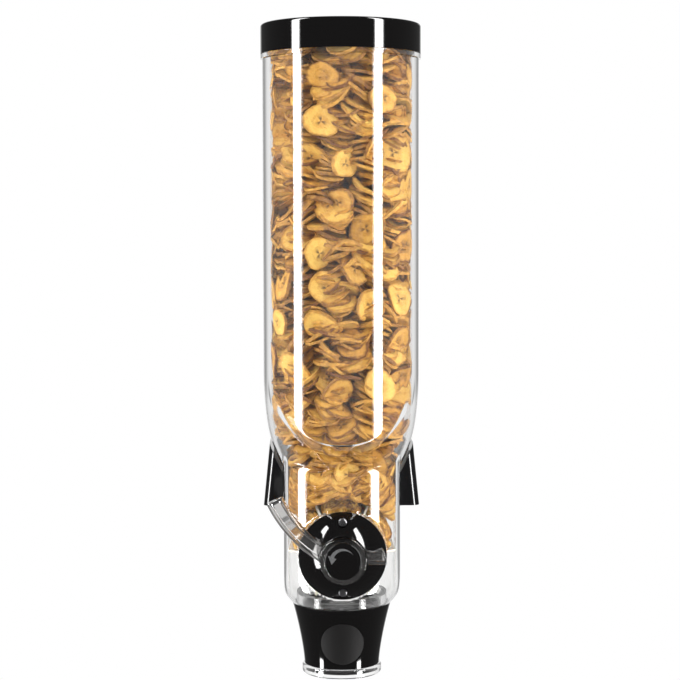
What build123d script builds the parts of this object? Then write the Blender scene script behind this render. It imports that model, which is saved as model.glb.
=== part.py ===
from build123d import *
import math
import os

# Wall-mounted bulk food dispenser: a clear hopper that drops into a black wall bracket, with a
# lever-turned portion wheel in its neck and a bayonet spout under it.
# The model is drawn from the hopper's axis: x to the right, y towards the wall, z up from the
# lower end of the outlet ring. At the end it is moved to the centre of the bracket's wall face.

# Clear hopper
hopper_radius = 75.0
hopper_wall = 4.0
shell_bottom_z = 69.0
rim_height = 22.8
rim_step = 1.2
bead_bottom_z = 592.7
bead_height = 4.5
bead_overhang = 1.8
shoulder_z = 293.5
shoulder_high_radius = 350.0
shoulder_high_deg = 7.6
shoulder_low_radius = 134.0
shoulder_low_deg = 22.5

# Round-ended front bulge of the hopper and its bevel
bulge_centre_z = 282.5
bulge_side_in = 3.5
bulge_ledge = 18.0
bevel_side_in = 29.8
bevel_side_run = 0.481
bevel_foot_depth = 54.0
bevel_side_skin = 2.2

# Neck that holds the portion wheel
neck_half_width = 55.7
neck_face_centre_y = 13.0
neck_top_z = 228.0
bowl_mouth_lip = 6.0
bowl_waist_share = 0.594
bowl_waist_up = 13.0
bowl_height = 46.0
bowl_corner_room = 1.0
gate_rib_width = 2.3
gate_rib_proud = 1.2
gate_rib_height = 9.0
guide_rib_y = 20.0
guide_rib_length = 6.0
guide_rib_proud = 3.7
guide_rib_bottom_z = 168.0
guide_rib_height = 32.0

# Lid
lid_height = 28.0
lid_top_wall = 3.0
lid_edge_round = 2.5
lid_seat_gap = 0.3
lid_fit_gap = 0.3
lid_seal_width = 3.4

# Portion wheel, its shaft and bushes
axis_drop = 0.9
shaft_radius = 6.0
shaft_flat = 4.6
shaft_running_gap = 0.05
key_gap = 0.05
vane_count = 6
vane_thickness = 2.0
vane_tip_gap = 1.5
vane_face_gap = 1.0
vane_root_radius = 8.0
wheel_hub_radius = 13.0
hub_end_gap = 1.0
bush_radius = 9.0
bush_fit_gap = 0.02
bush_flange_radius = 12.0
bush_flange_height = 2.0
rear_boss_radius = 14.0
rear_boss_depth = 12.0
rear_boss_skin = 3.0
clip_thickness = 1.0
clip_radius = 9.0
clip_groove_depth = 0.8
clip_gap = 0.3
clip_mouth = 7.0

# Nose cover over the front bearing
nose_boss_radius = 42.2
nose_boss_proud = 1.0
nose_recess_radius = 38.2
nose_boss_root = 12.0
cover_radius = 41.6
cover_rim = 2.0
cover_rise = 18.5
cover_top_radius = 22.6
cover_arch = 1.3
cover_wall = 2.5
cover_corner_share = 0.4
cover_hole_radius = 9.2
gasket_thickness = 0.6
gasket_width = 3.6
screw_offset = 33.0
screw_radius = 2.0
screw_hole_gap = 0.05
screw_head_radius = 4.0
screw_head_height = 2.6
screw_pocket_gap = 0.4
screw_sink = 1.2
screw_post_wall = 1.8
screw_tip_in = 3.5
cross_slot_width = 1.0
cross_slot_depth = 1.2
cross_slot_share = 0.6
screw_round_share = 0.45

# Lever on the shaft's front end
lever_gap = 0.3
lever_hub_radius = 22.2
lever_hub_height = 8.7
lever_arm_depth = 9.0
lever_arm_start = 0.7
lever_tip_x = -63.3
lever_tip_z = 57.1
lever_root_x = -12.0
lever_root_z = 3.5
lever_bend_radius = 115.0
lever_arm_half_width = 8.1
lever_wall = 4.2
lever_groove_depth = 6.0
lever_tail_reach = 40.3
lever_tail_slant = 3.7
lever_tail_neck = 12.0
lever_tail_low = -3.2
lever_tail_corner = 2.4
lever_tail_dip = 8.4
lever_tail_high = 12.0
lever_boss_radius = 8.6
lever_boss_length = 8.0
lever_socket_radius = 17.3
lever_floor = 4.0
lever_edge_round = 1.2
shaft_screw_length = 14.0
shaft_screw_head_radius = 4.5
shaft_screw_head_height = 2.4

# Arrow cap that closes the lever's hub
cap_side_gap = 0.2
cap_wall = 2.0
cap_proud = 1.4
cap_edge_round = 0.8
arrow_radius = 11.0
arrow_width = 3.4
arrow_thickness = 0.5
arrow_tail_deg = 32.0
arrow_neck_deg = 158.0
arrow_tip_deg = 194.0
arrow_head_width = 8.4
arrow_taper = 0.62

# Outlet collar with the bayonet lugs
collar_top_z = 79.0
collar_bottom_z = 58.0
collar_fit_gap = 0.05
collar_wall = 3.5
spigot_step = 13.7
lug_count = 4
lug_first_deg = 45.0
lug_width_deg = 12.0
lug_height = 3.0
lug_proud = 1.8
lug_top_z = 67.5
seal_section_radius = 1.0
seal_z = 60.6
seal_squeeze_gap = 0.1

# Spout
spout_top_z = 68.5
spout_bottom_z = 4.0
spout_mouth_wall = 5.7
spout_end_radius = 36.0
spout_flare_power = 1.5
spout_wall = 3.0
spout_spigot_gap = 0.3
spout_socket_floor_gap = 0.5
spout_turn_deg = 30.0
lug_slot_gap_deg = 1.0
lug_slot_gap = 0.3

# Outlet ring and badge
ring_radius = 38.4
ring_bore_radius = 32.5
ring_height = 9.0
ring_round = 2.2
ring_fit_gap = 0.1
badge_radius = 20.5
badge_z = 34.7
badge_thickness = 0.8
badge_gap = 0.05

# Wall bracket
wall_gap = 13.0
bracket_plate_thickness = 6.0
bracket_bottom_z = 164.0
bracket_top_z = 275.0
bracket_tongue_half_width = 45.0
bracket_corner_round = 12.0
arm_front_y = -12.0
arm_top_z = 231.0
arm_low_out = 0.3
arm_high_out = -6.4
arm_wall = 3.5
arm_front_round = 8.0
arm_shoulder_z = 200.0
neck_side_gap = 0.5
groove_gap = 0.3
pad_thickness = 2.0
pad_seat_gap = 0.3
pad_half_length = 10.0
wall_hole_radius = 2.75
wall_hole_half_x = 30.0
wall_hole_half_z = 45.0

# Worked out from the sizes above
hopper_inner_radius = hopper_radius - hopper_wall
spigot_radius = neck_half_width - spigot_step
bowl_mouth_radius = spigot_radius + bowl_mouth_lip
spout_mouth_radius = spigot_radius + spout_mouth_wall
bulge_radius = hopper_radius - bulge_side_in
neck_face_y = -(hopper_radius - bulge_ledge)
neck_face_radius = neck_face_centre_y - neck_face_y
neck_inner_y = neck_face_y + hopper_wall
boss_face_y = neck_face_y - nose_boss_proud
boss_back_y = boss_face_y + hopper_wall
rear_wall_y = -neck_face_y
axis_z = shell_bottom_z + neck_half_width - axis_drop
wall_y = hopper_radius + wall_gap
arm_low_half_width = hopper_radius + arm_low_out
arm_high_half_width = hopper_radius + arm_high_out
neck_corner_y = neck_face_centre_y - math.sqrt(neck_face_radius ** 2 - neck_half_width ** 2)
bowl_brim_radius = math.hypot(neck_half_width, neck_corner_y) + bowl_corner_room
bowl_waist_radius = bowl_mouth_radius + bowl_waist_share * (bowl_brim_radius - bowl_mouth_radius)
cover_back_y = boss_face_y - gasket_thickness
cover_front_y = cover_back_y - cover_rim - cover_rise
lever_back_y = cover_front_y - lever_gap
lever_front_y = lever_back_y - lever_hub_height
lever_floor_y = lever_back_y - lever_floor
bead_top_z = bead_bottom_z + bead_height
rim_top_z = bead_top_z + rim_height
rim_radius = hopper_radius - rim_step
lid_radius = hopper_radius + bead_overhang
lid_bottom_z = bead_top_z + lid_seat_gap
lid_top_z = lid_bottom_z + lid_height
mount_z = (bracket_bottom_z + bracket_top_z) / 2
far = 400.0


def xz_prism(sketch, y_low, y_high):
    """A sketch in x and z, carried from y_low to y_high."""
    return extrude(Plane.XZ.offset(-y_high) * sketch, amount=y_high - y_low)


def y_rod(radius, y_low, y_high, x=0.0, z=axis_z):
    """A round rod along y."""
    return xz_prism(Pos(x, z) * Circle(radius), y_low, y_high)


def z_rod(radius, z_low, z_high, x=0.0, y=0.0):
    """A round rod along z."""
    return extrude(Plane.XY.offset(z_low) * (Pos(x, y) * Circle(radius)), amount=z_high - z_low)


def z_ring(outer, inner, z_low, z_high):
    """A plain ring about the hopper's axis."""
    return z_rod(outer, z_low, z_high) - z_rod(inner, z_low - 1, z_high + 1)


def block(x_low, x_high, y_low, y_high, z_low, z_high):
    """A box by its two corners."""
    middle = ((x_low + x_high) / 2, (y_low + y_high) / 2, (z_low + z_high) / 2)
    return Pos(*middle) * Box(x_high - x_low, y_high - y_low, z_high - z_low)


def turned(profile):
    """A face in r and z, turned about the hopper's axis from the wall side round."""
    return revolve(Plane.YZ * profile, axis=Axis.Z)


def shoulder_side(offset):
    """The shoulder's curve from the tube down to the neck, set out by offset: two arcs in r and z."""
    start = (hopper_radius + offset, shoulder_z)
    high = JernArc(start, (0, -1), shoulder_high_radius + offset, -shoulder_high_deg)
    low = JernArc(high @ 1, high % 1, shoulder_low_radius + offset, -shoulder_low_deg)
    return high + low


def shoulder_face(offset):
    """The half outline of the shoulder in r and z, closed along the hopper's axis."""
    side = shoulder_side(offset)
    foot = min(side.vertices(), key=lambda corner: corner.Y)
    close = Polyline((foot.X, foot.Y), (0, foot.Y), (0, shoulder_z), (hopper_radius + offset, shoulder_z))
    return make_face(side + close)


def shoulder(offset):
    """The shoulder as a solid, from the tube down to the top of the neck."""
    return turned(shoulder_face(offset))


def neck_plan(inset):
    """The neck seen from above: flat sides, and a front and a back face of one radius."""
    half = neck_half_width - inset
    face = neck_face_radius - inset
    front = Pos(0, neck_face_centre_y) * Circle(face)
    back = Pos(0, -neck_face_centre_y) * Circle(face)
    return Rectangle(2 * half, far) & front & back


def bowl(inset):
    """The rounded lower end of the neck, turned about the hopper's axis."""
    mouth = (bowl_mouth_radius - inset, shell_bottom_z)
    waist = (bowl_waist_radius - inset, shell_bottom_z + bowl_waist_up)
    brim = (bowl_brim_radius - inset, shell_bottom_z + bowl_height)
    outline = Line((0, mouth[1]), mouth) + ThreePointArc(mouth, waist, brim)
    outline += Polyline(brim, (far, brim[1]), (far, neck_top_z), (0, neck_top_z), (0, mouth[1]))
    return turned(make_face(outline))


def neck(inset):
    """The neck as a solid, drawn in by inset on every side."""
    prism = extrude(Plane.XY.offset(shell_bottom_z) * neck_plan(inset), amount=neck_top_z - shell_bottom_z)
    return prism & bowl(inset)


def bevel_face(y, side_skin, foot_skin):
    """The round-ended outline of the bevel at one depth: it widens towards the wall."""
    depth = y + hopper_radius
    half = hopper_radius - bevel_side_in + bevel_side_run * depth - side_skin
    foot = bevel_foot_depth + depth - foot_skin
    left = Line((-half, rim_top_z), (-half, bulge_centre_z))
    end = EllipticalCenterArc((0, bulge_centre_z), half, foot, start_angle=180, arc_size=180)
    right = Line((half, bulge_centre_z), (half, rim_top_z))
    return Plane.XZ.offset(-y) * make_face(left + end + right + Line((half, rim_top_z), (-half, rim_top_z)))


def bulge(inset, side_skin, foot_skin):
    """The front bulge: the hopper's own radius, cut to a round end and bevelled around it."""
    width = bulge_radius - inset
    end = Pos(0, bulge_centre_z) * Circle(width)
    sides = Pos(0, (bulge_centre_z + shoulder_z) / 2) * Rectangle(2 * width, shoulder_z - bulge_centre_z)
    front = xz_prism(end + sides, -far / 2, 0)
    tube = z_rod(hopper_radius - inset, bulge_centre_z - bulge_radius - 1, shoulder_z)
    faces = [bevel_face(-hopper_radius - 5, side_skin, foot_skin), bevel_face(5, side_skin, foot_skin)]
    return tube & front & loft(faces, ruled=True)


def side_flats():
    """What the two upright flats beside the front take off the tube."""
    near = hopper_radius - bevel_side_in
    wide = near + bevel_side_run * hopper_radius
    right = Polyline((near, -hopper_radius), (wide, 0), (far, 0), (far, -hopper_radius), close=True)
    cut = extrude(Plane.XY.offset(bulge_centre_z - bulge_radius) * make_face(right), amount=far)
    return cut + mirror(cut, about=Plane.YZ)


def guide_ribs(clearance):
    """The two upright ribs on the neck's sides that slide into the bracket's arms."""
    low = guide_rib_bottom_z - clearance
    high = guide_rib_bottom_z + guide_rib_height if clearance == 0 else arm_top_z + 5
    outer = neck_half_width + guide_rib_proud + clearance
    near = guide_rib_y - clearance
    rib = block(neck_half_width - 1, outer, near, guide_rib_y + guide_rib_length + clearance, low, high)
    return rib + mirror(rib, about=Plane.YZ)


def hopper():
    """The clear hopper before it is split into its two shells."""
    outside = z_rod(hopper_radius, shoulder_z, bead_bottom_z) + shoulder(0) - side_flats()
    outside += bulge(0, 0, 0)
    outside += neck(0)
    outside += z_rod(hopper_radius + bead_overhang, bead_bottom_z, bead_top_z)
    outside += z_rod(rim_radius, bead_top_z, rim_top_z)
    outside += y_rod(nose_boss_radius, boss_face_y, neck_inner_y + nose_boss_root)
    foot_skin = hopper_wall * math.sqrt(2)
    inside = z_rod(hopper_inner_radius, shoulder_z, rim_top_z + 1)
    inside += shoulder(-hopper_wall)
    inside += bulge(hopper_wall, bevel_side_skin, foot_skin)
    inside += neck(hopper_wall)
    inside += z_rod(bowl_mouth_radius - hopper_wall, shell_bottom_z - 1, shell_bottom_z + 1)
    inside += y_rod(nose_recess_radius, boss_back_y, neck_inner_y + nose_boss_root)
    shell = outside - inside
    shell += y_rod(rear_boss_radius, rear_wall_y - rear_boss_depth, rear_wall_y - 1)
    shell -= y_rod(bush_radius + bush_fit_gap, 0, rear_wall_y - rear_boss_skin)
    shell -= y_rod(bush_radius + bush_fit_gap, boss_face_y - 1, 0)
    for side in (-1, 1):
        hole_z = axis_z + side * screw_offset
        shell -= y_rod(screw_radius + screw_hole_gap, boss_face_y - 1, boss_back_y + 1, z=hole_z)
    shell += guide_ribs(0)
    rib_back = -(bowl_mouth_radius - hopper_wall / 2)
    rib_front = -(bowl_waist_radius + gate_rib_proud)
    rib = block(-gate_rib_width / 2, gate_rib_width / 2, rib_front, rib_back, shell_bottom_z,
                shell_bottom_z + gate_rib_height)
    return shell + (rib & bowl(-gate_rib_proud))


def lid_cap():
    """The lid: a turned cup, upside down, that drops over the rim."""
    cap = z_rod(lid_radius, lid_bottom_z, lid_top_z)
    cap = fillet(cap.edges().group_by(Axis.Z)[-1], lid_edge_round)
    return cap - z_rod(rim_radius + lid_fit_gap, lid_bottom_z - 1, lid_top_z - lid_top_wall)


def lid_seal():
    """The soft ring in the lid that lies on the hopper's rim."""
    return z_ring(rim_radius, rim_radius - lid_seal_width, rim_top_z, lid_top_z - lid_top_wall)


def d_rod(radius, flat, y_low, y_high):
    """A rod along y with one flat on its upper side."""
    return y_rod(radius, y_low, y_high) - block(-far, far, y_low - 1, y_high + 1, axis_z + flat, axis_z + far)


hub_front_y = boss_back_y + hub_end_gap
hub_back_y = rear_wall_y - rear_boss_depth - hub_end_gap
clip_y = boss_face_y - bush_flange_height - clip_gap
shaft_front_y = lever_floor_y
shaft_back_y = rear_wall_y - rear_boss_skin - hub_end_gap


def drive_shaft():
    """The shaft: round where it runs in the bushes, with a flat where it drives."""
    shaft = y_rod(shaft_radius, shaft_front_y, shaft_back_y)
    top = axis_z + shaft_flat
    shaft -= block(-far, far, hub_front_y + 1, hub_back_y - 1, top, top + far)
    shaft -= block(-far, far, shaft_front_y - 1, lever_back_y + lever_boss_length, top, top + far)
    groove = y_rod(shaft_radius + 1, clip_y - clip_thickness - clip_gap, clip_y)
    shaft -= groove - y_rod(shaft_radius - clip_groove_depth, clip_y - far, clip_y + far)
    return shaft - y_rod(screw_radius + screw_hole_gap, shaft_front_y - 1, shaft_front_y + shaft_screw_length)


def shaft_clip():
    """The open spring clip in the shaft's groove, in front of the front bush."""
    bore = shaft_radius - clip_groove_depth + shaft_running_gap
    low = clip_y - clip_thickness
    clip = y_rod(clip_radius, low, clip_y) - y_rod(bore, low - 1, clip_y + 1)
    return clip - block(-clip_mouth / 2, clip_mouth / 2, low - 1, clip_y + 1, axis_z - clip_radius - 1, axis_z)


def wheel_hub():
    """The hub of the portion wheel, keyed to the shaft and slotted for its vanes."""
    hub = y_rod(wheel_hub_radius, hub_front_y, hub_back_y)
    hub -= y_rod(shaft_radius + key_gap, hub_front_y - 1, hub_front_y + 1)
    hub -= y_rod(shaft_radius + key_gap, hub_back_y - 1, hub_back_y + 1)
    hub -= d_rod(shaft_radius + key_gap, shaft_flat + key_gap, hub_front_y, hub_back_y)
    half = vane_thickness / 2 + key_gap
    slot = block(vane_root_radius - key_gap, far, -far, far, axis_z - half, axis_z + half)
    for number in range(vane_count):
        hub -= around_shaft(slot, number * 360 / vane_count)
    return hub


def around_shaft(shape, degrees):
    """The shape turned about the wheel's axis."""
    return shape.rotate(Axis((0, 0, axis_z), (0, -1, 0)), degrees)


def wheel_vanes():
    """The flexible vanes. Each one's outline follows the neck's walls, so it sweeps them as it turns."""
    tip = neck_half_width - hopper_wall - vane_tip_gap
    room = neck_plan(hopper_wall + vane_face_gap)
    recess_half = nose_recess_radius - vane_face_gap
    front = Pos(0, hub_front_y / 2) * Rectangle(2 * recess_half, -hub_front_y)
    outline = room + front
    outline &= Pos((vane_root_radius + tip) / 2, 0) * Rectangle(tip - vane_root_radius, far)
    outline -= Pos(0, hub_back_y + far / 2) * Rectangle(2 * (rear_boss_radius + vane_face_gap), far)
    vane = extrude(Plane.XY.offset(axis_z - vane_thickness / 2) * outline, amount=vane_thickness)
    return Compound([around_shaft(vane, number * 360 / vane_count) for number in range(vane_count)])


def front_bush():
    """The flanged bush in the nose boss."""
    bush = y_rod(bush_radius, boss_face_y, boss_back_y)
    bush += y_rod(bush_flange_radius, boss_face_y - bush_flange_height, boss_face_y)
    return bush - y_rod(shaft_radius + shaft_running_gap, -far, 0)


def rear_bush():
    """The plain bush in the back wall's boss."""
    low = rear_wall_y - rear_boss_depth
    bush = y_rod(bush_radius, low, rear_wall_y - rear_boss_skin)
    return bush - y_rod(shaft_radius + shaft_running_gap, 0, far)


def cover_outline(inset):
    """The domed outline of the nose cover in radius and depth, as a face to turn about the axis."""
    rim = cover_radius - inset
    base = -cover_back_y
    foot = base + cover_rim
    peak = foot + cover_rise - inset
    top = cover_top_radius - inset * cover_corner_share
    half_way = ((rim + top) / 2, (foot + peak) / 2)
    lean = math.hypot(rim - top, peak - foot)
    bow = cover_arch / lean
    swell = (half_way[0] + (peak - foot) * bow, half_way[1] + (rim - top) * bow)
    outline = Line((0, base), (rim, base)) + Line((rim, base), (rim, foot))
    outline += ThreePointArc((rim, foot), swell, (top, peak))
    outline += Line((top, peak), (0, peak)) + Line((0, peak), (0, base))
    return make_face(outline)


def about_shaft_axis(face):
    """A face in radius and forward depth, turned about the shaft's axis."""
    plane = Plane(origin=(0, 0, axis_z), x_dir=(1, 0, 0), z_dir=(0, 0, 1))
    turned_face = plane * mirror(face, about=Plane.XZ)
    return revolve(turned_face, axis=Axis((0, 0, axis_z), (0, 1, 0)))


def nose_cover():
    """The black dome over the front bearing, with two screw posts inside."""
    solid = about_shaft_axis(cover_outline(0))
    shell = solid - about_shaft_axis(cover_outline(cover_wall))
    for side in (-1, 1):
        post_z = axis_z + side * screw_offset
        shell += y_rod(screw_head_radius + screw_post_wall, cover_front_y, cover_back_y, z=post_z) & solid
        shell -= y_rod(screw_head_radius + screw_pocket_gap, -far, screw_seat_y(), z=post_z)
        shell -= y_rod(screw_radius + screw_pocket_gap, -far, 0, z=post_z)
    return shell - y_rod(cover_hole_radius, -far, 0)


def screw_seat_y():
    """Where a cover screw's head sits: sunk a little below the dome on its high side."""
    share = (cover_radius - screw_offset) / (cover_radius - cover_top_radius)
    return cover_back_y - cover_rim - cover_rise * share + screw_sink


def nose_gasket():
    """The thin ring between the cover and the boss."""
    return y_rod(cover_radius, cover_back_y, boss_face_y) - y_rod(cover_radius - gasket_width, -far, 0)


def screw(head_radius, head_height, seat_y, tip_y, z):
    """A pan-head screw along y with a cross recess."""
    front = seat_y - head_height
    head = y_rod(head_radius, front, seat_y, z=z)
    head = fillet(head.edges().group_by(Axis.Y)[0], head_height * screw_round_share)
    half = cross_slot_width / 2
    reach = head_radius * cross_slot_share
    head -= block(-half, half, front - 1, front + cross_slot_depth, z - reach, z + reach)
    head -= block(-reach, reach, front - 1, front + cross_slot_depth, z - half, z + half)
    return head + y_rod(screw_radius, seat_y, tip_y, z=z)


def cover_screws():
    """The two screws that hold the nose cover."""
    tip = boss_face_y + screw_tip_in
    high = screw(screw_head_radius, screw_head_height, screw_seat_y(), tip, axis_z + screw_offset)
    low = screw(screw_head_radius, screw_head_height, screw_seat_y(), tip, axis_z - screw_offset)
    return Compound([high, low])


def arm_band(half_width, tip_trim):
    """The lever's curved arm in x and z from the shaft's axis: a band of one bend radius."""
    chord_x = lever_tip_x - lever_root_x
    chord_z = lever_tip_z - lever_root_z
    chord = math.hypot(chord_x, chord_z)
    rise = math.sqrt(lever_bend_radius ** 2 - (chord / 2) ** 2)
    centre_x = (lever_tip_x + lever_root_x) / 2 + chord_z / chord * rise
    centre_z = (lever_tip_z + lever_root_z) / 2 - chord_x / chord * rise
    tip_angle = math.atan2(lever_tip_z - centre_z, lever_tip_x - centre_x) + tip_trim / lever_bend_radius
    root_angle = math.atan2(lever_root_z - centre_z, lever_root_x - centre_x)
    reach = 2 * lever_bend_radius
    tip_far = (reach * math.cos(tip_angle), reach * math.sin(tip_angle))
    root_far = (reach * math.cos(root_angle), reach * math.sin(root_angle))
    band = Circle(lever_bend_radius + half_width) - Circle(lever_bend_radius - half_width)
    return Pos(centre_x, centre_z) * (band & make_face(Polyline((0, 0), tip_far, root_far, close=True)))


def lever_tail(inset):
    """The short thumb tail across the hub from the arm."""
    low = lever_tail_low + inset
    end = lever_tail_reach - inset
    points = [(0, low), (end, low), (end, lever_tail_corner), (end - lever_tail_slant, lever_tail_high - inset)]
    points += [(lever_tail_reach - lever_tail_neck, lever_tail_dip - inset), (0, lever_tail_high - inset)]
    return make_face(Polyline(*points, close=True))


def lever():
    """The lever: hub, curved arm and tail, with a channel in the front of arm and tail."""
    back = lever_back_y - lever_arm_start
    front = back - lever_arm_depth
    outline = Pos(0, axis_z) * (arm_band(lever_arm_half_width, 0) + lever_tail(0))
    body = xz_prism(outline, front, back)
    hub = y_rod(lever_hub_radius, lever_front_y, lever_back_y)
    hub = fillet(hub.edges().group_by(Axis.Y)[0], lever_edge_round)
    groove = arm_band(lever_arm_half_width - lever_wall, lever_wall) - Circle(lever_hub_radius + lever_wall)
    groove += lever_tail(lever_wall) - Circle(lever_hub_radius + lever_wall / 2)
    body -= xz_prism(Pos(0, axis_z) * groove, front - 1, front + lever_groove_depth)
    body -= y_rod(lever_hub_radius - 1, -far, 0)
    body += hub
    body += y_rod(lever_boss_radius, lever_back_y, lever_back_y + lever_boss_length)
    body -= y_rod(lever_socket_radius, -far, lever_floor_y)
    return body - d_rod(shaft_radius + key_gap, shaft_flat + key_gap, lever_floor_y - 1, 0)


def lever_screw():
    """The screw that holds the lever on the shaft's end."""
    tip = lever_floor_y + shaft_screw_length - 1
    return screw(shaft_screw_head_radius, shaft_screw_head_height, lever_floor_y, tip, axis_z)


cap_radius = lever_socket_radius - cap_side_gap
cap_front_y = lever_front_y - cap_proud


def arrow_cap():
    """The hollow cap in the lever's hub."""
    cap = y_rod(cap_radius, cap_front_y, lever_floor_y)
    cap = fillet(cap.edges().group_by(Axis.Y)[0], cap_edge_round)
    return cap - y_rod(cap_radius - cap_wall, cap_front_y + cap_wall, 0)


def arrow_mark():
    """A curved arrow on the cap that shows which way the lever turns."""
    def at(radius, degrees):
        angle = math.radians(degrees)
        return (radius * math.cos(angle), radius * math.sin(angle))

    half = arrow_width / 2
    middle = (arrow_tail_deg + arrow_neck_deg) / 2
    tail = at(arrow_radius, arrow_tail_deg)
    outside = ThreePointArc(tail, at(arrow_radius + half * arrow_taper, middle), at(arrow_radius + half, arrow_neck_deg))
    inside = ThreePointArc(at(arrow_radius - half, arrow_neck_deg), at(arrow_radius - half * arrow_taper, middle), tail)
    barb_out = at(arrow_radius + arrow_head_width / 2, arrow_neck_deg)
    barb_in = at(arrow_radius - arrow_head_width / 2, arrow_neck_deg)
    head = Polyline(at(arrow_radius + half, arrow_neck_deg), barb_out, at(arrow_radius, arrow_tip_deg), barb_in,
                    at(arrow_radius - half, arrow_neck_deg))
    sketch = Pos(0, axis_z) * make_face(outside + head + inside)
    return xz_prism(sketch, cap_front_y - arrow_thickness, cap_front_y)


def ring_sector(outer, inner, z_low, z_high, from_deg, to_deg):
    """Part of a ring about the hopper's axis; degrees are counted from +x."""
    reach = 3 * outer
    steps = [from_deg, (from_deg + to_deg) / 2, to_deg]
    corners = [(reach * math.cos(math.radians(a)), reach * math.sin(math.radians(a))) for a in steps]
    wedge = make_face(Polyline((0, 0), *corners, close=True))
    face = (Circle(outer) - Circle(inner)) & wedge
    return extrude(Plane.XY.offset(z_low) * face, amount=z_high - z_low)


def outlet_collar():
    """The clear collar in the hopper's mouth, with a spigot, bayonet lugs and a seal groove."""
    bore = spigot_radius - collar_wall
    seat = bowl_mouth_radius - hopper_wall - collar_fit_gap
    collar = z_ring(seat, bore, shell_bottom_z, collar_top_z)
    collar += z_ring(spigot_radius, bore, collar_bottom_z, shell_bottom_z)
    groove_floor = spigot_radius - seal_section_radius * 2 + seal_squeeze_gap
    half = seal_section_radius + seal_squeeze_gap
    collar -= z_ring(spigot_radius + 1, groove_floor, seal_z - half, seal_z + half)
    for number in range(lug_count):
        middle = lug_first_deg + number * 360 / lug_count
        collar += ring_sector(spigot_radius + lug_proud, spigot_radius - 1, lug_top_z - lug_height, lug_top_z,
                              middle - lug_width_deg / 2, middle + lug_width_deg / 2)
    return collar


def spout_seal():
    """The round-section ring that seals the spout on the spigot."""
    middle = spigot_radius + spout_spigot_gap / 2 - seal_section_radius
    section = Pos(middle, seal_z) * Circle(seal_section_radius)
    return turned(section)


def flare_radius(z):
    """The spout's outside radius: it grows as a power of the height above its lower end."""
    share = (z - spout_bottom_z) / (spout_top_z - spout_bottom_z)
    return spout_end_radius + (spout_mouth_radius - spout_end_radius) * max(share, 0.0) ** spout_flare_power


def flare(z_low, z_high, offset):
    """The flared outline between two heights, set out by offset, as a curve."""
    count = 5
    heights = [z_low + (z_high - z_low) * step / count for step in range(count + 1)]
    return Spline(*[(flare_radius(z) + offset, z) for z in heights])


def flare_solid(z_low, z_high, offset):
    """The space inside the flared outline."""
    top = (flare_radius(z_high) + offset, z_high)
    foot = (flare_radius(z_low) + offset, z_low)
    outline = flare(z_low, z_high, offset) + Polyline(top, (0, z_high), (0, z_low), foot)
    return turned(make_face(outline))


def spout():
    """The black flared spout with its bayonet slots."""
    socket_radius = spigot_radius + spout_spigot_gap
    socket_floor = collar_bottom_z - spout_socket_floor_gap
    body = flare_solid(spout_bottom_z, spout_top_z, 0)
    body -= flare_solid(spout_bottom_z, socket_floor, -spout_wall)
    body -= z_rod(spout_end_radius - spout_wall, spout_bottom_z - 1, spout_bottom_z + 1)
    body -= z_rod(socket_radius, socket_floor, spout_top_z + 1)
    slot_radius = spigot_radius + lug_proud + lug_slot_gap
    half = lug_width_deg / 2 + lug_slot_gap_deg
    for number in range(lug_count):
        middle = lug_first_deg + number * 360 / lug_count
        entry = middle - spout_turn_deg
        low = lug_top_z - lug_height - lug_slot_gap
        high = lug_top_z + lug_slot_gap
        body -= ring_sector(slot_radius, socket_radius - 1, low, high, entry - half, middle + half)
        body -= ring_sector(slot_radius, socket_radius - 1, low, spout_top_z + 1, entry - half, entry + half)
    return body


def spout_badge():
    """The blank round badge on the spout's front, bent to its flare."""
    low = badge_z - badge_radius - 2
    high = badge_z + badge_radius + 2
    skin = flare_solid(low, high, badge_gap + badge_thickness) - flare_solid(low - 1, high + 1, badge_gap)
    return skin & y_rod(badge_radius, -far, 0, z=badge_z)


def outlet_ring():
    """The clear ring that grips the spout's lower end."""
    ring = z_ring(ring_radius, ring_bore_radius, 0, ring_height)
    rounds = ring.edges().filter_by(GeomType.CIRCLE).filter_by(lambda edge: edge.radius > ring_radius - 0.1)
    ring = fillet(rounds, ring_round)
    seat = flare_solid(spout_bottom_z, ring_height + 1, ring_fit_gap)
    return ring - (seat - z_rod(spout_end_radius - spout_wall - ring_fit_gap, 0, ring_height + 2))


def shoulder_shadow(offset, y_low, y_high):
    """The shoulder's outline seen from the front, set out by offset and carried along y."""
    half = xz_prism(shoulder_face(offset), y_low, y_high)
    return half + mirror(half, about=Plane.YZ)


def arm_blank(inset):
    """One arm's block, drawn in by inset, before it is hollowed and cut under the shoulder."""
    inner = neck_half_width + neck_side_gap + inset
    low = bracket_bottom_z if inset == 0 else bracket_bottom_z - 1
    low_outer = arm_low_half_width - inset
    high_outer = arm_high_half_width - inset
    outline = Polyline((inner, low), (low_outer, low), (high_outer, arm_top_z), (inner, arm_top_z), close=True)
    arm = xz_prism(make_face(outline), arm_front_y + inset, wall_y - inset)
    front_face = arm.faces().sort_by(Axis.Y)[0]
    return fillet(front_face.edges().sort_by(Axis.X)[-1], arm_front_round - inset)


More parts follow.
